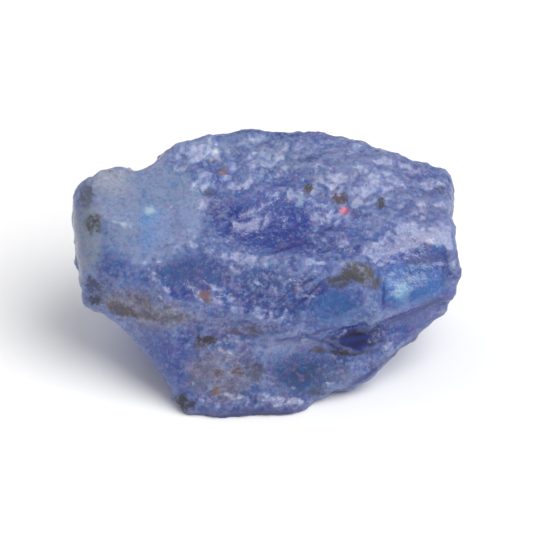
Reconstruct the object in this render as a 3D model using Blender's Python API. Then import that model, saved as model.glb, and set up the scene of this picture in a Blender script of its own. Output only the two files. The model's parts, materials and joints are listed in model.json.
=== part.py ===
"""One piece of rough tanzanite: a broken, unpolished crystal lump, lying on the flat of its fracture.

The stone is 22 mm long: an upper slab with a sloping top, over a narrower keel that it stands on,
both of the one crystal. It is built as a block trimmed by its main cleavage and fracture faces, then
chipped, then given the skin of broken crystal, small hollow breaks that meet at sharp ridges.

The front (-Y) is the side with the ledge between the sloping top and the steep face under it. A face
is given as a gem cutter would note it: its bearing round from the front, with the right side at +90
degrees, its lean above the horizon, and its reach, how far it lies from the stone's heart. Places and
sizes are in millimetres while the stone is worked, and seated() then puts the finished stone over
its origin.
"""

import math

import bmesh
import bpy
from mathutils import Matrix, Vector, noise

MM = 0.001

LENGTH = 22.0
HEART = Vector((0.0, 1.0, 5.3))
RAW_BLOCK = 60.0

# Bearing, lean and reach of each main face
MAIN_FACES = [
    (12, 73, 3.68),  # the sloping top
    (68, 78, 5.2),  # its right-hand end, where it falls away
    (-67, 44, 9.2),  # the pale bevel at the left of the top
    (-8, 46, 4.25),  # the bevel along the front of the top
    (0, 24, 4.0),  # the steep front
    (5, 36, 4.4),  # the front's upper right
    (-24, 18, 6.1),  # the front of the slab's left end
    (26, -9, 7.2),  # the undercut at the lower right
    (50, -60, 7.37),  # the right-hand corner of the foot
    (0, -50, 8.1),  # the foot of the front
    (92, 3, 10.85),  # right end
    (-84, -8, 10.3),  # left end
    (-95, 22, 11.35),  # the left end's blunt tip
    (-154, 5, 6.95),  # back, left
    (180, 8, 6.75),  # back, middle
    (166, 5, 7.15),  # back, right
    (130, 5, 11.2),  # the corner of the back and the right end
    (0, -90, 5.3),  # the resting flat
    (71, -50, 7.75),  # underside, right
    (-80, -48, 7.6),  # underside, left
    (180, -38, 6.3),  # underside, back
    (-140, -42, 6.9),  # underside, back left
    (140, -40, 7.6),  # underside, back right
]

# Where a ledge or a notch has broken in: the corner that its new faces share, then their bearings
# and leans
LEDGES = {
    "the slab's overhang at the left": ((-8.2, -3.1, 4.3), (-51, -14), (-49, -61)),
    "the keel's left side": ((-8.2, -3.1, 4.3), (-78, -40), (-60, -61)),
    "the clear face at the right, and its riser": ((6.5, -3.2, 5.04), (17, 33), (95, 5)),
    "the recess under the right half": ((0.05, -3.86, 4.22), (12, 26), (29, -70), (80, 0)),
    "the thin layer gone from the top": ((-3.9, 0.0, 8.85), (4, 73.3), (80, 10)),
    "the nick in the top's back edge": ((-8.1, 3.3, 10.2), (-144, 30), (75, 25)),
    "the overhang at the back": ((-1.5, 6.6, 6.2), (172, -4), (178, -58), (-130, 5)),
    "the broken corner under the right end": ((10.3, 1.6, 3.8), (92, -6), (60, -50)),
}

# Shell-shaped (conchoidal) chips: the centre, half sizes and turn of the ball that leaves the hollow
SHELL_CHIPS = {
    "top": ((0.4, -0.1, 9.75), (3.4, 1.9, 1.25), (17, 4, 12)),
    "back, right": ((7.6, 8.3, 4.6), (3.6, 2.4, 3.0), (10, -20, 15)),
    "underside, back left": ((-6.4, 4.6, 0.2), (3.2, 2.4, 1.9), (0, 20, 30)),
    "underside, right": ((6.2, 2.0, 0.0), (2.6, 3.4, 1.7), (0, -25, 10)),
}
SHELL_ROUNDNESS = 4

# The skin of the broken crystal, coarse to fine: the size of its breaks, long in the direction of
# the cleavage, their relief, and the seed of their places
BREAKS = [
    ((5.2, 3.0, 3.0), 0.46, 11.0),
    ((2.6, 1.5, 1.5), 0.27, 23.0),
    ((1.3, 0.85, 0.85), 0.09, 37.0),
]
# How far a break's hollow rises within one break's size from its middle, as a share of its relief
HOLLOW = 1.4
MIDDLE_TILT = Vector((0.5, 0.5, 0.5))
# Where the crystal has split smoothly: the middle and radius of each such place
SMOOTH_PLACES = {
    "left of the top": ((-6.2, 0.8, 9.4), 4.6),
    "left end": ((-10.6, 0.0, 7.6), 3.2),
    "the shell chip in the top": ((0.4, 0.2, 8.8), 2.2),
    "the clear face at the right": ((8.3, -2.0, 6.8), 2.6),
    "the recess": ((2.5, -4.4, 2.5), 2.4),
    "the keel's left side": ((-6.4, -3.9, 2.8), 2.8),
}
SMOOTH_RELIEF = 0.25
FLAT_RELIEF = 0.12
FLAT_TRIM = 0.10
GRID = 0.26
TRIANGLES = 9000

CRYSTAL_COLOUR = (0.10, 0.14, 0.38, 1.0)
CRYSTAL_ROUGHNESS = 0.35
CRYSTAL_IOR = 1.69


def facing(bearing, lean):
    """The outward direction of a face, from its bearing and lean in degrees."""
    around, above = math.radians(bearing), math.radians(lean)
    return Vector(
        (
            math.cos(above) * math.sin(around),
            -math.cos(above) * math.cos(around),
            math.sin(above),
        )
    )


def placed(name, shape):
    """Puts a bmesh that is in millimetres into the scene, in metres."""
    bmesh.ops.scale(shape, vec=(MM, MM, MM), verts=shape.verts)
    mesh = bpy.data.meshes.new(name)
    shape.to_mesh(mesh)
    shape.free()
    solid = bpy.data.objects.new(name, mesh)
    bpy.context.scene.collection.objects.link(solid)
    return solid


def cut_edges(shape, place, out):
    """Cuts off what lies beyond a plane, and returns the edges of the opening that this leaves."""
    cut = bmesh.ops.bisect_plane(
        shape,
        geom=shape.verts[:] + shape.edges[:] + shape.faces[:],
        plane_co=place,
        plane_no=out,
        clear_outer=True,
    )
    return [part for part in cut["geom_cut"] if isinstance(part, bmesh.types.BMEdge)]


def block(name, faces):
    """A convex block with the given faces, each a bearing, a lean and a reach."""
    shape = bmesh.new()
    bmesh.ops.create_cube(shape, size=RAW_BLOCK)
    bmesh.ops.translate(shape, vec=HEART, verts=shape.verts)
    for bearing, lean, reach in faces:
        out = facing(bearing, lean)
        rim = cut_edges(shape, HEART + out * reach, out)
        if rim:
            bmesh.ops.edgenet_fill(shape, edges=rim)
    bmesh.ops.recalc_face_normals(shape, faces=shape.faces)
    return placed(name, shape)


def modify(stone, kind, **settings):
    """Adds a modifier to the stone and applies it."""
    modifier = stone.modifiers.new(kind.title(), kind)
    for setting, value in settings.items():
        setattr(modifier, setting, value)
    with bpy.context.temp_override(object=stone, active_object=stone):
        bpy.ops.object.modifier_apply(modifier=modifier.name)


def carve(stone, cutter):
    """Takes the cutter's shape out of the stone."""
    modify(stone, "BOOLEAN", operation="DIFFERENCE", solver="EXACT", object=cutter)
    bpy.data.objects.remove(cutter)


def break_ledge(stone, corner, *faces):
    """Breaks off what lies outside all the new faces, (bearing, lean) each, that meet at a corner."""
    from_heart = Vector(corner) - HEART
    away = []
    for bearing, lean in faces:
        reach = facing(bearing, lean).dot(from_heart)
        away.append((bearing + 180.0, -lean, -reach))
    carve(stone, block("ledge", away))


def break_shell(stone, centre, half_sizes, turn):
    """Breaks out a shell-shaped chip, a stretched ball's hollow."""
    shape = bmesh.new()
    bmesh.ops.create_icosphere(shape, subdivisions=SHELL_ROUNDNESS, radius=1.0)
    matrix = Matrix.Translation(centre)
    for degrees, axis in zip(turn, "XYZ"):
        matrix = matrix @ Matrix.Rotation(math.radians(degrees), 4, axis)
    matrix = matrix @ Matrix.Diagonal((*half_sizes, 1.0))
    bmesh.ops.transform(shape, matrix=matrix, verts=shape.verts)
    carve(stone, placed("shell", shape))


def proud(point, size, lift, seed):
    """How far a point stands proud on shallow hollow breaks, tilted every way, that meet at ridges."""
    shift = Vector((seed, seed, seed))
    place = Vector(along / length for along, length in zip(point, size)) + shift
    heights = []
    for distance, middle in zip(*noise.voronoi(place)):
        tilt = noise.cell_vector(middle * seed) - MIDDLE_TILT
        heights.append(HOLLOW * distance**2 + tilt.dot(place - middle) + tilt.z)
    return lift * min(heights)


def relief(point):
    """How much of the skin's relief a point has: all of it, but little in a smooth place."""
    share = 1.0
    for middle, radius in SMOOTH_PLACES.values():
        near = (point - Vector(middle)).length / radius
        share = min(share, SMOOTH_RELIEF + (1.0 - SMOOTH_RELIEF) * near**4)
    return share


def roughen(stone):
    """Gives the faces the skin of broken crystal, in as many triangles as that needs."""
    modify(stone, "REMESH", mode="VOXEL", voxel_size=GRID * MM)
    shape = bmesh.new()
    shape.from_mesh(stone.data)
    shape.normal_update()
    for vert in shape.verts:
        point = vert.co / MM
        share = FLAT_RELIEF if point.z < FLAT_TRIM else relief(point)
        height = sum(proud(point, *each) for each in BREAKS)
        vert.co += vert.normal * height * share * MM
    shape.to_mesh(stone.data)
    shape.free()
    modify(stone, "TRIANGULATE")
    modify(stone, "DECIMATE", ratio=TRIANGLES / len(stone.data.polygons))


def seated(stone):
    """Trims the resting flat true, and brings the stone to size with its origin under its middle."""
    shape = bmesh.new()
    shape.from_mesh(stone.data)
    rim = cut_edges(shape, (0.0, 0.0, FLAT_TRIM * MM), (0.0, 0.0, -1.0))
    bmesh.ops.holes_fill(shape, edges=rim)
    bmesh.ops.recalc_face_normals(shape, faces=shape.faces)
    places = [vert.co for vert in shape.verts]
    low = Vector(min(place[axis] for place in places) for axis in range(3))
    high = Vector(max(place[axis] for place in places) for axis in range(3))
    middle = (low + high) / 2.0
    size = LENGTH * MM / (high.x - low.x)
    bmesh.ops.translate(shape, vec=(-middle.x, -middle.y, -low.z), verts=shape.verts)
    bmesh.ops.scale(shape, vec=(size, size, size), verts=shape.verts)
    shape.to_mesh(stone.data)
    shape.free()


def crystal():
    """Violet-blue zoisite crystal, uncut, with a surface between glassy and greasy."""
    material = bpy.data.materials.new("tanzanite_crystal")
    material.use_nodes = True
    surface = material.node_tree.nodes["Principled BSDF"]
    surface.inputs["Base Color"].default_value = CRYSTAL_COLOUR
    surface.inputs["Roughness"].default_value = CRYSTAL_ROUGHNESS
    surface.inputs["Metallic"].default_value = 0.0
    surface.inputs["IOR"].default_value = CRYSTAL_IOR
    return material


def main():
    for old in list(bpy.data.objects):
        bpy.data.objects.remove(old)
    stone = block("tanzanite_stone", MAIN_FACES)
    for corner, *faces in LEDGES.values():
        break_ledge(stone, corner, *faces)
    for centre, half_sizes, turn in SHELL_CHIPS.values():
        break_shell(stone, centre, half_sizes, turn)
    roughen(stone)
    seated(stone)
    stone.data.materials.append(crystal())


main()
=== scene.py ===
"""One piece of rough tanzanite, lying on a pale surface in soft light."""

import json
import math

import bpy
import numpy as np
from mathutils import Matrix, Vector, noise

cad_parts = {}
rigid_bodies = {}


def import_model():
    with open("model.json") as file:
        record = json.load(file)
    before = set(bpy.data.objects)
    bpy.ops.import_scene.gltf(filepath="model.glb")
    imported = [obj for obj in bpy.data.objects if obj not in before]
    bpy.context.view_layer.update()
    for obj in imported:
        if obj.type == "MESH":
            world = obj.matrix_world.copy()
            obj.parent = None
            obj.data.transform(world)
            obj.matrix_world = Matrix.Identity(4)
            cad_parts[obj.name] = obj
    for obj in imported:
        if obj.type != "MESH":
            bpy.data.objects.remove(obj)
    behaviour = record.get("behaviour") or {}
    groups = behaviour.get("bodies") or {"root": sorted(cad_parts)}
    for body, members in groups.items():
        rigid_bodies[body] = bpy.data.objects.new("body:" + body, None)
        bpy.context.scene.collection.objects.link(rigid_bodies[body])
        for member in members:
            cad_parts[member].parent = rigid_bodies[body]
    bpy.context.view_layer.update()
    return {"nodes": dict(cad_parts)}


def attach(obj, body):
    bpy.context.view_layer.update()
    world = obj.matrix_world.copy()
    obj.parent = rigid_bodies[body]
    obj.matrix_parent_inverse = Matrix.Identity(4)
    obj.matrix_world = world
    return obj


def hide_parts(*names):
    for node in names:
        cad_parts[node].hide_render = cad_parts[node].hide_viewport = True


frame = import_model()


# The stone. One broken lump of tanzanite, the violet-blue kind of zoisite, as it was dug: nothing on
# it is cut or polished. It has split smoothly along its cleavage in some places, and in others it
# has broken into the sugary and hackly surface that is modelled here on a copy of the solid.
MM = 0.001
# The width of the copy's faces, fine enough for breaks of 0.3 mm
VOXEL = 0.11 * MM
# Size, relief and seed of each layer of hollow breaks, in mm, coarse to fine
BREAKS = [
    ((1.05, 0.95, 0.85), 0.07, 5.0),
    ((0.55, 0.52, 0.48), 0.055, 17.0),
    ((0.3, 0.3, 0.28), 0.028, 29.0),
]
# How far a break's hollow rises within one break's size from its middle, as a share of its relief
HOLLOW = 1.4
MIDDLE_TILT = Vector((0.5, 0.5, 0.5))
# The way across the cleavage, and the spacing and rise of its steps in mm
CLEAVAGE = Vector((0.06, -0.29, 0.955))
STEPS = [(1.05, 0.035), (0.4, 0.008)]
# The steps lie straight within a block of the crystal, but for these bends: the blocks to a mm, and
# the waves to a mm and height in mm of each bend
BLOCKS = 0.3
BENDS = [(0.35, 0.3), (1.9, 0.05)]
# How strong the steps are on average, how much that varies, and the waves of it to a mm
STEP_STRENGTH, STEP_CONTRAST, STEP_WAVES = 0.45, 1.6, 0.4
# The middle and radius in mm of each place where the crystal has split smoothly, and the least share
# of the roughness that is left in it
SMOOTH_PLACES = [
    ((-6.8, 0.0, 9.3), 4.2, 0.0),
    ((-10.1, -1.0, 8.2), 2.6, 0.0),
    ((-0.2, -0.5, 8.6), 2.5, 0.35),
    ((8.2, -2.9, 6.2), 2.9, 0.0),
    ((5.2, -4.5, 3.7), 1.1, 0.0),
    ((8.2, -3.4, 4.1), 1.8, 0.0),
    ((4.0, -4.5, 5.8), 1.7, 0.0),
    ((1.8, -5.5, 2.0), 2.1, 0.0),
    ((-6.0, -5.3, 2.7), 2.6, 0.0),
    ((-4.6, -3.2, 7.6), 1.8, 0.0),
    ((-5.5, 5.0, 5.0), 3.0, 0.0),
    ((6.0, 6.0, 4.5), 2.8, 0.0),
    ((10.8, 1.5, 5.5), 2.4, 0.0),
]
# The share of the fine relief that such a place keeps in its middle
SMOOTH_RELIEF = 0.12
# How far the outline of such a place strays, as a share of its radius, and its waves to a mm
SPLIT_UNEVEN, SPLIT_WAVES = 0.45, 0.7
# How many times over such a place is evened out, to lie flatter than the solid's coarse skin
FLATTEN_ROUNDS = 41
# Below this height is the flat that the stone lies on, which stays flat
FLAT_HEIGHT = 0.15 * MM
# The rounds of evening that ridges and hollows are measured against, and how far out a full ridge
# stands and how deep a full hollow lies
RIDGE_ROUNDS, RIDGE_RISE = 4, 0.018 * MM
HOLLOW_ROUNDS, HOLLOW_DEPTH = 50, 0.16 * MM
# Edges between faces stay crisp above this angle, in degrees
CRISP_ANGLE = 18.0

bpy.ops.object.select_all(action="DESELECT")
solid = frame["nodes"]["tanzanite_stone"]
solid.select_set(True)
bpy.context.view_layer.objects.active = solid
bpy.ops.object.duplicate()
stone = bpy.context.object
stone.name = "rough_tanzanite"
stone.data.name = "rough_tanzanite"
bpy.ops.object.parent_clear(type="CLEAR_KEEP_TRANSFORM")
bpy.ops.object.mode_set(mode="EDIT")
bpy.ops.mesh.select_all(action="SELECT")
bpy.ops.mesh.remove_doubles(threshold=0.001 * MM)
bpy.ops.object.mode_set(mode="OBJECT")
remesh = stone.modifiers.new("Remesh", "REMESH")
remesh.mode = "VOXEL"
remesh.voxel_size = VOXEL
bpy.ops.object.modifier_apply(modifier="Remesh")


def proud(point, size, lift, seed):
    """How far the surface stands proud on small hollow breaks that meet at ridges, in mm."""
    place = Vector(along / length + seed for along, length in zip(point, size))
    heights = []
    for distance, middle in zip(*noise.voronoi(place)):
        tilt = noise.cell_vector(middle * seed) - MIDDLE_TILT
        heights.append(HOLLOW * distance**2 + tilt.dot(place - middle) + tilt.z)
    return lift * min(heights)


def broken_share(point):
    """1 on the coarsely broken parts, near 0 in the middle of a smooth place."""
    share = 1.0
    uneven = SPLIT_UNEVEN * noise.noise(point * SPLIT_WAVES)
    for middle, radius, least in SMOOTH_PLACES:
        near = max(0.0, (point - Vector(middle)).length / radius + uneven)
        share = min(share, max(least, near**3))
    return share


def stepped(point):
    """How far the thin layers of the cleavage stand proud, in mm. They are set off from one block of
    the crystal to the next, and come and go over a few mm."""
    block = noise.voronoi(point * BLOCKS)[1][0]
    across = point.dot(CLEAVAGE) + noise.cell(block * 7.0)
    across += sum(height * noise.noise(point * waves) for waves, height in BENDS)
    strength = STEP_STRENGTH + STEP_CONTRAST * noise.noise(point * STEP_WAVES)
    strength = min(1.0, max(0.0, strength))
    return strength * sum(rise * (across / spacing % 1.0 - 0.5) for spacing, rise in STEPS)


def evened(places, ends, rounds):
    """The places once each has moved to the mean of its neighbours, a number of times over."""
    neighbours = np.bincount(ends.ravel(), minlength=len(places))[:, None]
    for _ in range(rounds):
        total = np.zeros_like(places)
        np.add.at(total, ends[:, 0], places[ends[:, 1]])
        np.add.at(total, ends[:, 1], places[ends[:, 0]])
        places = total / neighbours
    return places


def read(domain, field, width, kind=float):
    """A field of every point, edge or face of the mesh, a row for each."""
    values = np.empty(width * len(domain), dtype=kind)
    domain.foreach_get(field, values)
    return values.reshape(-1, width)


mesh = stone.data
ends = read(mesh.edges, "vertices", 2, np.int64)

# the smooth splits are flattened first
places = read(mesh.vertices, "co", 3)
broken_shares = [min(1.0, broken_share(vert.co / MM)) for vert in mesh.vertices]
split = 1.0 - np.array(broken_shares)[:, None]
split[places[:, 2] < FLAT_HEIGHT] = 0.0
flatter = evened(places, ends, FLATTEN_ROUNDS)
mesh.vertices.foreach_set("co", (places + (flatter - places) * split).ravel())
mesh.update()

# then every point is moved in or out, and keeps how coarsely it is broken
broken = mesh.attributes.new("broken", "FLOAT", "POINT")
lifts = []
for vert in mesh.vertices:
    point = vert.co / MM
    share = broken_share(point)
    broken.data[vert.index].value = share
    relief = SMOOTH_RELIEF + (1.0 - SMOOTH_RELIEF) * share
    lift = sum(proud(point, *each) for each in BREAKS) * relief
    lift += stepped(point) * relief
    lifts.append(vert.normal * lift * MM)
for vert, lift in zip(mesh.vertices, lifts):
    if vert.co.z > FLAT_HEIGHT:
        vert.co += lift

# ridges are bruised pale, hollows get painted shade and soil, so each point knows how far it stands out
places = read(mesh.vertices, "co", 3)
outward = read(mesh.vertices, "normal", 3)
near_mean = evened(places, ends, RIDGE_ROUNDS)
wide_mean = evened(near_mean, ends, HOLLOW_ROUNDS)
ridge_rise = ((places - near_mean) * outward).sum(axis=1) / RIDGE_RISE
hollow_depth = ((wide_mean - places) * outward).sum(axis=1) / HOLLOW_DEPTH
ridge = mesh.attributes.new("ridge", "FLOAT", "POINT")
ridge.data.foreach_set("value", np.clip(ridge_rise, -1.0, 1.0))
hollow = mesh.attributes.new("hollow", "FLOAT", "POINT")
hollow.data.foreach_set("value", np.clip(hollow_depth, 0.0, 1.0))
bpy.ops.object.shade_smooth_by_angle(angle=math.radians(CRISP_ANGLE))


# Tanzanite: hard, brittle and clear inside, but veiled with fine cracks. The light that gets in comes
# out violet-blue, and the sugary breaks scatter it back paler.
tanzanite = bpy.data.materials.new("tanzanite_crystal")
tanzanite.use_nodes = True
tree = tanzanite.node_tree
tree.nodes.clear()


def linear(hex_colour):
    """An sRGB hex colour as linear red, green, blue and alpha."""
    shares = [int(hex_colour[place : place + 2], 16) / 255.0 for place in (1, 3, 5)]
    lit = [share / 12.92 if share <= 0.04045 else ((share + 0.055) / 1.055) ** 2.4 for share in shares]
    return (*lit, 1.0)


def node(tree, kind, inputs=None, **settings):
    """Adds a node, with its settings, and links or sets each of the inputs that are given."""
    added = tree.nodes.new(kind)
    for setting, value in settings.items():
        setattr(added, setting, value)
    for name, value in (inputs or {}).items():
        if isinstance(value, bpy.types.NodeSocket):
            tree.links.new(value, added.inputs[name])
        else:
            added.inputs[name].default_value = value
    return added


where = node(tree, "ShaderNodeTexCoord").outputs["Object"]
millimetres = node(
    tree, "ShaderNodeVectorMath", {0: where, "Scale": 1.0 / MM}, operation="SCALE"
).outputs[0]


def veiled(colour, value, start, end, shade, strength, within=None):
    """A colour with another one over it where a value goes from start to end, and within a share."""
    share = node(
        tree,
        "ShaderNodeMapRange",
        {"Value": value, "From Min": start, "From Max": end, "To Max": strength},
    ).outputs["Result"]
    if within is not None:
        share = node(tree, "ShaderNodeMath", {0: share, 1: within}, operation="MULTIPLY").outputs[0]
    colours = {"Factor": share, "A": colour, "B": linear(shade)}
    return node(tree, "ShaderNodeMix", colours, data_type="RGBA").outputs["Result"]


def cloud(scale, stretch=(1.0, 1.0, 1.0), detail=5.0, roughness=0.6):
    """Noise in the crystal, scale being the number of its clouds to a mm before it is stretched."""
    place = node(
        tree, "ShaderNodeVectorMath", {0: millimetres, 1: stretch}, operation="MULTIPLY"
    ).outputs[0]
    return node(
        tree,
        "ShaderNodeTexNoise",
        {"Vector": place, "Scale": scale, "Detail": detail, "Roughness": roughness},
    ).outputs["Fac"]


# clouds: veils of different depth in the crystal, 2 to 5 mm, long in the direction of its cleavage
body = node(tree, "ShaderNodeValToRGB", {"Fac": cloud(0.42, (0.5, 0.9, 1.1), 6.0, 0.62)})
ramp = body.color_ramp
ramp.elements[0].position = 0.34
ramp.elements[0].color = linear("#4154A4")
ramp.elements[1].position = 0.66
ramp.elements[1].color = linear("#A3B4DA")
ramp.elements.new(0.5).color = linear("#6C84C2")
colour = body.outputs["Color"]

# patches: what the stone shows in particular places, among them painted shade and a painted sheen, each a
# name, a middle and half sizes in mm, the share of its size over which it fades out, a colour and a
# strength
PATCHES = [
    ("sugary right of the top", (5.6, 2.6, 9.3), (5.2, 4.2, 2.2), 0.6, "#98A6D6", 0.72),
    ("sugary right end", (9.3, 0.5, 8.6), (2.2, 2.6, 1.5), 0.6, "#A8AFDC", 0.6),
    ("violet over the window", (7.4, -1.5, 8.0), (2.6, 1.0, 0.8), 0.6, "#56609E", 0.6),
    ("blue in the middle of the top", (-1.0, 2.2, 9.7), (2.8, 2.4, 1.4), 0.6, "#7A90C8", 0.5),
    # the pale veil on the left of the top is partly the crystal's milky veil and partly a painted sheen,
    # and the blue band down it is a painted glint
    ("pale veil and painted sheen on the left of the top", (-6.3, 0.1, 9.1), (3.5, 4.2, 2.9), 0.3, "#ACBFDE", 0.9),
    ("paler left side of the veil", (-8.0, 0.0, 9.3), (1.3, 3.6, 2.0), 0.5, "#AFBFDC", 0.8),
    ("painted blue glint down the pale veil", (-6.6, -1.0, 8.9), (0.8, 2.4, 1.6), 0.8, "#8ABAE8", 0.75),
    ("grey seam in the pale veil", (-5.05, -0.4, 9.0), (0.55, 2.2, 1.2), 0.8, "#8590B4", 0.6),
    ("white corner of the veil", (-8.9, 2.0, 10.0), (1.7, 1.9, 1.6), 0.7, "#D2D8DC", 0.9),
    ("pale green-grey on the bevel", (-9.9, -1.5, 8.2), (0.8, 1.2, 1.2), 0.7, "#C2D2CE", 0.7),
    ("grey veil on the left bevel", (-10.3, -0.9, 8.1), (1.5, 3.2, 2.6), 0.4, "#B4C0C8", 0.9),
    ("pale veil on the back", (-3.5, 6.6, 6.8), (3.2, 2.0, 1.6), 0.6, "#94A6D4", 0.75),
    ("violet band on the back", (2.8, 6.6, 4.6), (4.6, 2.2, 1.3), 0.5, "#404E9A", 0.8),
    ("grey-brown veil low on the back", (-0.5, 5.4, 2.0), (3.4, 2.2, 1.4), 0.5, "#857C80", 0.75),
    ("pale veil, right of the back", (7.5, 5.6, 7.2), (2.4, 1.8, 1.5), 0.6, "#A0AAD6", 0.75),
    ("sky-blue split, left of the back", (-5.6, 5.2, 5.8), (2.3, 1.6, 1.5), 0.4, "#86A6DA", 0.8),
    ("clear blue split, right of the back", (6.2, 5.3, 4.3), (2.1, 1.5, 1.6), 0.4, "#4A6CB6", 0.85),
    ("clear blue at the right end", (10.4, 1.0, 5.0), (1.6, 2.4, 1.8), 0.5, "#4468B0", 0.8),
    ("blue hollow behind the dark speck", (1.4, 2.3, 9.5), (1.3, 1.0, 0.9), 0.6, "#4459A8", 0.6),
    ("violet hollow in the top", (0.1, -0.5, 8.6), (4.2, 2.0, 1.4), 0.5, "#42529C", 0.9),
    # painted shade: the left side of the hollow is darkened
    ("painted shade at the left of the hollow", (-1.7, -0.4, 8.8), (1.6, 1.3, 1.0), 0.6, "#2C3C92", 0.85),
    ("violet under the hollow", (1.8, -1.7, 8.1), (4.4, 0.9, 0.9), 0.6, "#3C4896", 0.8),
    # the crystal's violet, with painted shade under the ledge of the pale veil
    ("violet and painted shade under the pale veil", (-3.9, -3.4, 7.5), (4.6, 1.3, 0.9), 0.5, "#5E6EA2", 0.85),
    ("light blue on the slab's left end", (-7.4, -3.5, 6.6), (2.0, 1.4, 0.7), 0.6, "#8AA0D0", 0.7),
    ("brown-grey veil on the slab's left end", (-6.8, -4.0, 5.4), (4.0, 2.0, 1.1), 0.4, "#9C9078", 0.85),
    ("grey veil across the middle", (-1.6, -4.9, 4.7), (3.6, 1.6, 1.1), 0.6, "#7F84A2", 0.6),
    ("blue front", (0.4, -4.0, 6.6), (3.4, 1.8, 1.6), 0.5, "#435CA0", 0.8),
    ("blue face above the recess", (3.9, -4.5, 5.6), (2.6, 1.4, 1.4), 0.5, "#4C72AE", 0.9),
    ("dark rise by the blue face", (2.4, -3.9, 6.9), (1.5, 0.9, 0.5), 0.6, "#2C3F8A", 0.7),
    ("sky-blue window", (8.0, -2.9, 6.2), (2.3, 1.5, 1.5), 0.35, "#6F98D2", 0.9),
    ("violet above the foot", (0.6, -6.8, 0.7), (3.4, 1.3, 0.6), 0.6, "#48559A", 0.75),
    ("violet undercut", (8.0, -3.7, 3.9), (3.2, 1.8, 1.4), 0.5, "#6470B2", 0.85),
    ("clear blue left side of the keel", (-6.0, -5.3, 2.9), (1.7, 2.0, 2.4), 0.5, "#4A5CA6", 0.85),
    ("pink-grey veil on the keel", (-2.6, -5.9, 2.3), (2.5, 1.6, 2.1), 0.5, "#958C92", 0.85),
    ("deep blue face in the recess", (2.0, -5.5, 2.0), (3.2, 1.7, 1.7), 0.8, "#3E5278", 0.95),
]
# what shows through the smooth breaks, and painted light and shade, in the same form, clear of the
# streaks
CLEAR_PLACES = [
    ("window", (8.1, -2.9, 6.2), (2.2, 1.5, 1.4), 0.4, "#4C80CC", 0.6),
    # painted light: the glow of light coming through the window
    ("painted glow in the window", (7.6, -3.3, 6.1), (0.6, 0.9, 1.0), 0.9, "#A8DCF6", 0.95),
    ("blue face above the recess", (4.4, -4.4, 5.5), (2.4, 1.6, 1.3), 0.35, "#5C84C0", 0.75),
    # painted shade: the recess is darkened under the overhang
    ("shade in the recess", (5.1, -4.5, 3.65), (2.2, 1.5, 0.8), 0.4, "#06287C", 1.0),
    ("violet in the hollow", (0.2, -0.6, 8.6), (3.2, 1.7, 1.3), 0.6, "#4757A6", 0.85),
]
# healed cracks, edges and layers seen end on, and lines of painted shade, each a name, a middle, half
# sizes in mm, the axis that it is turned about, the turn in degrees, a colour and a strength
LINES = [
    ("lower crack in the front", (2.4, -3.9, 6.55), (1.8, 1.6, 0.13), "Y_AXIS", -34, "#101F74", 0.9),
    ("upper crack in the front", (2.3, -3.7, 7.15), (0.9, 1.2, 0.12), "Y_AXIS", -20, "#14246F", 0.85),
    ("short crack in the front", (1.1, -4.0, 6.6), (0.8, 1.2, 0.1), "Y_AXIS", -50, "#14246F", 0.75),
    ("front edge of the scoop", (1.3, -2.0, 8.15), (1.8, 0.22, 0.7), "Z_AXIS", 23, "#18287E", 0.85),
    ("right edge of the scoop", (3.4, -0.6, 8.4), (1.2, 0.2, 0.7), "Z_AXIS", 55, "#1C2C80", 0.75),
    # painted shade in the recess: its depth, the dark lines under its steps, and the foot of the blue
    # face
    ("painted deep shade in the recess", (4.9, -4.5, 3.6), (2.3, 1.3, 0.62), "Y_AXIS", 7, "#0A2C86", 0.85),
    ("blue layer over the recess", (4.5, -4.4, 4.46), (2.4, 1.0, 0.2), "Y_AXIS", 14, "#16399A", 0.9),
    ("upper line of painted shade in the recess", (5.0, -4.3, 3.95), (2.1, 1.2, 0.17), "Y_AXIS", 0, "#030E48", 1.0),
    ("middle line of painted shade in the recess", (4.9, -4.5, 3.52), (2.2, 1.2, 0.2), "Y_AXIS", 7, "#06144C", 0.9),
    ("lower line of painted shade in the recess", (4.6, -4.7, 2.98), (2.2, 1.2, 0.2), "Y_AXIS", 3, "#060E3C", 0.9),
    ("painted shade under the blue face", (2.9, -4.9, 4.55), (1.3, 0.9, 0.15), "Y_AXIS", -10, "#0C2A7C", 0.85),
    ("band under the window", (8.7, -3.1, 4.75), (2.4, 1.2, 0.3), "Y_AXIS", -22, "#2A2F90", 0.85),
    ("riser beside the window", (6.55, -3.5, 5.6), (0.13, 0.8, 1.7), "Y_AXIS", 0, "#2C3A80", 0.8),
    # painted shade: the lower rims, the foot and the right end are darkened
    ("painted shade on the rim of the keel, left", (-6.75, -5.0, 2.1), (2.6, 4.0, 0.3), "Y_AXIS", 54, "#1E2788", 0.85),
    ("painted shade on the rim at the lower right", (6.6, -4.5, 1.9), (4.6, 3.2, 0.32), "Y_AXIS", -27, "#262B84", 0.85),
    ("painted shade along the foot", (-0.6, -6.9, 0.15), (5.2, 1.2, 0.6), "Y_AXIS", 0, "#1C2680", 0.9),
    ("painted shade on the rim of the right end", (10.9, -1.2, 6.2), (0.45, 2.5, 1.5), "Y_AXIS", 0, "#2C3890", 0.75),
    ("crack down the back", (0.6, 6.8, 5.6), (0.16, 1.3, 2.2), "Y_AXIS", 24, "#16246E", 0.85),
    ("crack in the back, left", (-3.0, 6.1, 7.2), (1.8, 1.2, 0.15), "Y_AXIS", -18, "#1A2878", 0.8),
    ("layer under the back's overhang", (-3.6, 5.7, 5.9), (2.6, 1.2, 0.22), "Y_AXIS", 4, "#262F88", 0.8),
    # painted shade: the rim low on the back is darkened
    ("painted shade on the rim low on the back", (0.6, 4.7, 0.9), (5.5, 1.4, 0.35), "Y_AXIS", 0, "#222C86", 0.8),
]
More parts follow.
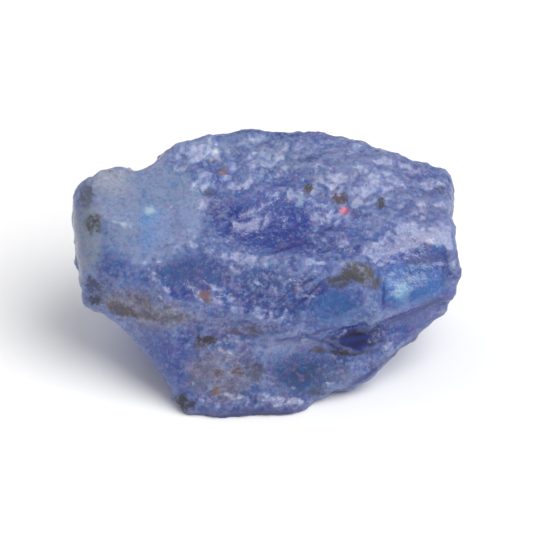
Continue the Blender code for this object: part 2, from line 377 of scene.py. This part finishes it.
# inclusions and stains, small and ragged, each a name, a middle, half sizes, a colour and a strength
INCLUSIONS = [
    ("olive patch under the ledge", (5.2, -3.5, 7.6), (1.3, 0.9, 0.7), "#57512F", 0.92),
    ("olive patch beside it", (4.0, -3.6, 7.1), (0.8, 0.6, 0.45), "#45412A", 0.9),
    ("olive patch over the window", (6.2, -3.6, 6.95), (0.6, 0.6, 0.35), "#565030", 0.9),
    ("dark line at the top of the window", (8.6, -1.9, 7.25), (2.2, 0.6, 0.22), "#2C3F8C", 0.8),
    ("olive patch on the left bevel", (-9.7, -0.6, 8.85), (0.75, 0.7, 0.6), "#4C4D3A", 0.95),
    ("dark streak on the left bevel", (-10.1, 1.1, 9.5), (0.5, 1.0, 0.5), "#57605E", 0.8),
    ("dark mottle on the left end", (-9.7, -2.5, 6.0), (0.7, 0.6, 0.5), "#3F4450", 0.8),
    ("dark mottle under it", (-9.5, -2.9, 5.2), (0.6, 0.5, 0.4), "#3A3D46", 0.85),
    ("brown at the slab's lower edge", (-8.0, -3.7, 5.1), (1.4, 0.9, 0.4), "#6E5C50", 0.8),
    ("brown at the slab's lower edge, right", (-5.9, -4.6, 5.4), (1.6, 0.8, 0.35), "#66605E", 0.7),
    ("dark pit in the front", (-3.4, -5.1, 4.1), (0.75, 0.6, 0.3), "#2B2412", 0.97),
    ("brown rim of the pit", (-3.7, -5.3, 3.8), (0.5, 0.5, 0.3), "#6A5038", 0.7),
    ("orange stain", (-3.4, -4.2, 6.5), (0.5, 0.6, 0.5), "#8C5A3C", 0.85),
    ("brown in the middle of the front", (-0.8, -4.9, 4.6), (0.5, 0.5, 0.4), "#74645F", 0.6),
    ("olive patch at the foot", (-4.7, -6.6, 0.7), (0.75, 0.8, 0.55), "#33302A", 0.95),
    ("brown in the recess", (2.9, -4.8, 3.15), (0.7, 0.6, 0.25), "#4E463C", 0.8),
    ("brown in the recess, right", (4.2, -4.9, 3.0), (0.6, 0.6, 0.22), "#2E2A2C", 0.9),
    ("dark mark on the keel", (-0.6, -5.7, 2.4), (0.6, 0.6, 0.7), "#4A4A5C", 0.75),
    ("stain on the keel, left", (-2.7, -6.0, 2.5), (0.35, 0.4, 0.28), "#7E5A42", 0.85),
    ("stain on the keel, right", (-1.7, -5.9, 2.4), (0.35, 0.4, 0.28), "#6E5240", 0.85),
    ("stain on the keel, low", (-2.9, -6.3, 1.4), (0.35, 0.4, 0.35), "#86624A", 0.8),
    ("dark mark by the foot", (2.8, -5.9, 0.95), (0.6, 0.6, 0.35), "#3A4458", 0.8),
    ("brown spot in the top", (4.2, 1.35, 9.1), (0.5, 0.5, 0.45), "#5A3E2A", 0.9),
    ("blue by the red spark", (5.0, 0.45, 8.7), (0.4, 0.3, 0.4), "#26347E", 0.7),
    ("dark speck, top middle", (2.35, 1.85, 9.45), (0.4, 0.45, 0.4), "#3C3820", 0.95),
    ("dark speck, top right", (6.45, 1.1, 8.9), (0.35, 0.4, 0.4), "#34331F", 0.9),
    ("olive patch on the back", (-6.2, 4.8, 4.3), (0.9, 0.8, 0.6), "#4C4A30", 0.9),
    ("olive patch on the back, right", (3.2, 6.4, 5.5), (0.8, 0.7, 0.5), "#4E4B30", 0.9),
    ("dark pit on the back", (-0.6, 6.7, 4.5), (0.8, 0.6, 0.35), "#2B2618", 0.95),
    ("brown mottle on the left end", (-10.7, 1.5, 5.5), (0.6, 0.9, 0.6), "#5E5650", 0.85),
    ("brown stain on the back", (1.4, 6.6, 7.3), (0.6, 0.7, 0.4), "#75573E", 0.8),
    ("dark speck on the back", (4.9, 5.7, 3.2), (0.5, 0.6, 0.4), "#34332A", 0.9),
    ("brown stain low on the back", (-2.0, 5.2, 1.6), (0.6, 0.8, 0.4), "#7A5E48", 0.8),
    ("dark speck at the right end", (9.9, 0.6, 3.4), (0.6, 0.5, 0.4), "#3A3A34", 0.85),
    ("orange speck, top", (-2.5, 2.7, 9.9), (0.28, 0.35, 0.35), "#9A6C3C", 0.85),
    ("dark line, top left", (-3.3, 1.5, 9.4), (0.8, 0.22, 0.4), "#3E4A70", 0.8),
    ("blue crack, top left", (-2.75, 2.1, 9.7), (0.16, 1.0, 0.6), "#2E4AA8", 0.9),
    ("dark line, top back", (2.4, 3.6, 10.1), (0.9, 0.25, 0.4), "#2F3F86", 0.8),
    ("dark specks by the right end", (9.8, 2.8, 8.6), (0.35, 0.3, 0.4), "#3A3F66", 0.8),
]
# painted glints: small breaks that flash, painted on as highlights, in the same form
PAINTED_GLINTS = [
    ("red spark in the top", (4.35, 0.6, 8.75), (0.36, 0.36, 0.4), "#F43F72", 1.0),
    ("white spark, back", (-3.0, 4.1, 10.4), (0.29, 0.29, 0.29), "#F2F2FA", 0.9),
    ("white spark by the brown spot", (3.8, 1.95, 9.4), (0.25, 0.25, 0.25), "#F0EDF2", 0.9),
    ("pale streak in the top", (1.85, 1.2, 9.15), (0.28, 0.7, 0.5), "#B9D8F0", 0.8),
    ("white spark on the slab's left end", (-5.9, -4.2, 6.4), (0.22, 0.22, 0.18), "#E4E8F6", 0.9),
    ("white spark on the front, left", (-0.5, -3.7, 7.1), (0.32, 0.29, 0.14), "#DDE6FA", 0.8),
    ("white spark on the front, right", (0.5, -4.0, 6.8), (0.19, 0.22, 0.16), "#DDE6FA", 0.8),
    ("white spark by the pit", (-2.2, -5.0, 4.0), (0.29, 0.22, 0.16), "#C6D2E6", 0.8),
    ("white spark on the keel, left", (-4.1, -6.1, 1.7), (0.2, 0.22, 0.16), "#D8DAE8", 0.8),
    ("white spark on the keel, low", (-1.5, -6.5, 0.9), (0.29, 0.29, 0.14), "#B0B3CA", 0.6),
    ("white spark in the deep face", (1.5, -5.9, 1.3), (0.22, 0.22, 0.14), "#BFD0DE", 0.8),
    ("white spark over the recess", (2.1, -4.7, 4.0), (0.34, 0.4, 0.22), "#DCE6F0", 0.9),
    ("bright point in the pale veil", (-6.55, -0.1, 9.4), (0.4, 0.45, 0.4), "#D2EEFC", 1.0),
    ("white spark, right end", (8.7, 0.2, 8.6), (0.25, 0.25, 0.22), "#DCDFF4", 0.8),
    ("white spark, right end, front", (9.2, -1.2, 8.0), (0.29, 0.25, 0.22), "#DCDFF4", 0.8),
    ("white spark, right end, back", (8.55, 1.0, 8.85), (0.22, 0.22, 0.22), "#DCDFF4", 0.8),
    ("white spark, top right", (5.0, 2.7, 9.85), (0.18, 0.29, 0.22), "#D8DEF6", 0.8),
    ("white spark, top middle", (1.0, 3.25, 9.85), (0.25, 0.22, 0.22), "#D8E2F8", 0.8),
    ("white spark over the olive patch", (6.05, -1.7, 8.2), (0.22, 0.29, 0.22), "#D4DAF4", 0.8),
    ("pale edge of the window", (9.75, -2.9, 4.25), (0.6, 0.6, 0.14), "#B4BCE0", 0.8),
    ("white spark on the back", (-1.3, 6.5, 5.3), (0.28, 0.4, 0.2), "#DCE2F6", 0.9),
    ("white spark on the back, left", (-7.0, 4.3, 6.7), (0.26, 0.4, 0.22), "#DCE2F6", 0.85),
    ("white spark on the back, right", (4.4, 6.0, 6.6), (0.3, 0.4, 0.22), "#DCE2F6", 0.85),
    ("white spark low on the back", (2.4, 6.4, 3.3), (0.28, 0.4, 0.2), "#CDD6EE", 0.85),
    ("white spark, left end", (-10.8, 0.4, 6.9), (0.4, 0.3, 0.26), "#DDE4EC", 0.85),
]
# the share of its size over which each of these fades out
INCLUSION_EDGE, GLINT_EDGE, LINE_EDGE = 0.35, 0.6, 0.7


def warped(scale, reach, detail=5.0):
    """The place in mm, pushed about by noise, so that a patch has an uneven outline."""
    push = node(
        tree,
        "ShaderNodeTexNoise",
        {"Vector": millimetres, "Scale": scale, "Detail": detail, "Roughness": 0.72},
    ).outputs["Color"]
    centred = node(
        tree, "ShaderNodeVectorMath", {0: push, 1: (0.5, 0.5, 0.5)}, operation="SUBTRACT"
    ).outputs[0]
    return node(
        tree,
        "ShaderNodeVectorMath",
        {0: centred, 1: (reach, reach, reach), 2: millimetres},
        operation="MULTIPLY_ADD",
    ).outputs[0]


def away(name, place, middle, half_sizes):
    """How far each place is from the middle of a patch, as a share of the patch's half sizes."""
    scale = [1.0 / half for half in half_sizes]
    shift = [-along / half for along, half in zip(middle, half_sizes)]
    local = node(
        tree, "ShaderNodeVectorMath", {0: place, 1: scale, 2: shift}, operation="MULTIPLY_ADD", label=name
    ).outputs[0]
    return node(tree, "ShaderNodeVectorMath", {0: local}, operation="LENGTH").outputs["Value"]


broad = warped(0.9, 1.5, 3.0)
for name, middle, half_sizes, edge, shade, strength in PATCHES:
    distance = away(name, broad, middle, half_sizes)
    colour = veiled(colour, distance, 1.0, 1.0 - edge, shade, strength)

# tints: the crystal shows violet one way and blue the other, so its broken grains differ in hue
tint = cloud(2.0, detail=4.0, roughness=0.7)
colour = veiled(colour, tint, 0.52, 0.66, "#9C84BE", 0.48)
colour = veiled(colour, tint, 0.48, 0.34, "#4A88C8", 0.5)

# streaks: thin healed layers along the cleavage, under a mm apart
streak = cloud(1.2, (0.8, 1.0, 1.3), 4.0, 0.7)
colour = veiled(colour, streak, 0.56, 0.70, "#B4C3EA", 0.2)
colour = veiled(colour, streak, 0.44, 0.32, "#2B3A8C", 0.26)

# clear places: mottled, because the crystal under them is veiled too
near = warped(1.8, 1.0)
mottle = node(
    tree,
    "ShaderNodeMapRange",
    {
        "Value": cloud(1.4, detail=4.0, roughness=0.7),
        "From Min": 0.36,
        "From Max": 0.56,
        "To Min": 0.4,
    },
).outputs["Result"]
for name, middle, half_sizes, edge, shade, strength in CLEAR_PLACES:
    distance = away(name, near, middle, half_sizes)
    colour = veiled(colour, distance, 1.0, 1.0 - edge, shade, strength, within=mottle)

# sugar: bright and dark grains of a few tenths of a mm where the surface is broken fine
broken_fine = node(tree, "ShaderNodeAttribute", attribute_name="broken").outputs["Fac"]
sugary = node(tree, "ShaderNodeMapRange", {"Value": broken_fine, "To Min": 0.35}).outputs["Result"]
for grains_to_mm, bright, dark in ((2.4, 0.34, 0.34), (5.0, 0.52, 0.44)):
    grain = cloud(grains_to_mm, detail=2.0, roughness=0.7)
    colour = veiled(colour, grain, 0.55, 0.66, "#CCD2EC", bright, within=sugary)
    colour = veiled(colour, grain, 0.45, 0.34, "#2F3C84", dark, within=sugary)

# bruised ridges, painted shade in the small hollows, and a little brown soil left in the deepest
ridge_rise = node(tree, "ShaderNodeAttribute", attribute_name="ridge").outputs["Fac"]
hollow_depth = node(tree, "ShaderNodeAttribute", attribute_name="hollow").outputs["Fac"]
colour = veiled(colour, ridge_rise, 0.15, 1.0, "#C3CEEE", 0.3)
# painted shade: the small hollows below the ridges are darkened
colour = veiled(colour, ridge_rise, -0.15, -1.0, "#2C388A", 0.2)
soil = node(
    tree,
    "ShaderNodeMapRange",
    {"Value": cloud(0.7, detail=3.0), "From Min": 0.54, "From Max": 0.64},
).outputs["Result"]
colour = veiled(colour, hollow_depth, 0.35, 0.9, "#6B5C56", 0.7, within=soil)
colour = veiled(colour, cloud(2.8, detail=2.0), 0.64, 0.7, "#857460", 0.45, within=sugary)

# the gloss over it pales every colour, so what is under it is a little stronger
colour = node(tree, "ShaderNodeHueSaturation", {"Color": colour, "Saturation": 1.12}).outputs["Color"]

# lines: nearly straight, so they stray less than half as far as a patch
stray = node(tree, "ShaderNodeVectorMath", {0: near, 1: millimetres}, operation="SUBTRACT").outputs[0]
nearly_straight = node(
    tree,
    "ShaderNodeVectorMath",
    {0: stray, 1: (0.45, 0.45, 0.45), 2: millimetres},
    operation="MULTIPLY_ADD",
).outputs[0]
for name, middle, half_sizes, axis, turn, shade, strength in LINES:
    turned = node(
        tree,
        "ShaderNodeVectorRotate",
        {"Vector": nearly_straight, "Center": middle, "Angle": math.radians(turn)},
        rotation_type=axis,
        invert=True,
    ).outputs[0]
    distance = away(name, turned, middle, half_sizes)
    colour = veiled(colour, distance, 1.0, 1.0 - LINE_EDGE, shade, strength)

# inclusions and painted glints: an inclusion is patchy, and duller than the crystal round it
ragged = warped(2.6, 1.35)
gaps = node(
    tree,
    "ShaderNodeMapRange",
    {
        "Value": cloud(3.4, detail=4.0, roughness=0.75),
        "From Min": 0.38,
        "From Max": 0.5,
        "To Min": 0.3,
    },
).outputs["Result"]
nearest = 1.0
for name, middle, half_sizes, shade, strength in INCLUSIONS:
    distance = away(name, ragged, middle, half_sizes)
    colour = veiled(colour, distance, 1.0, 1.0 - INCLUSION_EDGE, shade, strength, within=gaps)
    nearest = node(tree, "ShaderNodeMath", {0: nearest, 1: distance}, operation="MINIMUM").outputs[0]
for name, middle, half_sizes, shade, strength in PAINTED_GLINTS:
    distance = away(name, near, middle, half_sizes)
    colour = veiled(colour, distance, 1.0, 1.0 - GLINT_EDGE, shade, strength)

# polish: glassy where it has split smoothly, greasy where it is broken, and dull on an inclusion
gloss = node(
    tree, "ShaderNodeMapRange", {"Value": broken_fine, "To Min": 0.16, "To Max": 0.34}
).outputs["Result"]
dull = node(
    tree,
    "ShaderNodeMapRange",
    {"Value": nearest, "From Min": 1.0, "From Max": 1.0 - INCLUSION_EDGE, "To Max": 0.4},
).outputs["Result"]
polish = node(
    tree, "ShaderNodeMath", {0: dull, 1: gaps, 2: gloss}, operation="MULTIPLY_ADD"
).outputs[0]
# the finest sugar, too small for the mesh
fine = cloud(4.5, detail=2.0, roughness=0.7)
bump = node(
    tree, "ShaderNodeBump", {"Height": fine, "Strength": 0.3, "Distance": 0.06 * MM}
).outputs["Normal"]

shader = node(
    tree,
    "ShaderNodeBsdfPrincipled",
    {
        "Base Color": colour,
        "Roughness": polish,
        "Normal": bump,
        "IOR": 1.69,
        "Transmission Weight": 0.55,
    },
)
absorb = node(tree, "ShaderNodeVolumeAbsorption", {"Color": linear("#97A6EE"), "Density": 140.0})
node(tree, "ShaderNodeOutputMaterial", {"Surface": shader.outputs[0], "Volume": absorb.outputs[0]})

mesh.materials.clear()
mesh.materials.append(tanzanite)
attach(stone, "root")
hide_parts("tanzanite_stone")


# The surface it lies on: a sheet of plain white card, matt, and far wider than the picture.
bpy.ops.object.select_all(action="DESELECT")
bpy.ops.mesh.primitive_plane_add(size=3.0, location=(0.0, 0.0, 0.0))
floor = bpy.context.object
floor.name = "floor"
card = bpy.data.materials.new("white_card")
card.use_nodes = True
card.node_tree.nodes["Principled BSDF"].inputs["Base Color"].default_value = linear("#F2F2F2")
card.node_tree.nodes["Principled BSDF"].inputs["Roughness"].default_value = 0.9
floor.data.materials.append(card)


# The lights: a large soft box high up at the right and a little in front, a weaker one at the back
# left, and even light all round.
def soft_box(name, place, width, watts):
    """An area light that looks at the stone."""
    bpy.ops.object.light_add(type="AREA", location=place)
    light = bpy.context.object
    light.name = name
    light.data.size = width
    light.data.energy = watts
    aim = Vector((0.0, 0.0, 5.0 * MM)) - Vector(place)
    light.rotation_euler = aim.to_track_quat("-Z", "Y").to_euler()


soft_box("key", (0.20, -0.10, 0.33), 0.36, 1.75)
soft_box("back", (-0.22, 0.18, 0.28), 0.30, 0.30)
world = bpy.data.worlds.new("studio")
world.use_nodes = True
world.node_tree.nodes["Background"].inputs["Color"].default_value = (1.0, 1.0, 1.0, 1.0)
world.node_tree.nodes["Background"].inputs["Strength"].default_value = 0.42
bpy.context.scene.world = world


# The camera: not tilted to a side, looking down on the stone's front through a long lens.
ELEVATION = math.radians(38.0)
DISTANCE = 0.21
LENS = 250.0
aim_at = Vector((0.0, 0.0, 5.3 * MM))
bpy.ops.object.camera_add()
camera = bpy.context.object
camera.name = "camera"
towards_camera = Vector((0.0, -math.cos(ELEVATION), math.sin(ELEVATION)))
camera.location = aim_at + towards_camera * DISTANCE
camera.rotation_euler = (-towards_camera).to_track_quat("-Z", "Y").to_euler()
camera.data.lens = LENS
camera.data.clip_start = 1.0 * MM
bpy.context.scene.camera = camera
bpy.context.scene.view_settings.view_transform = "Standard"
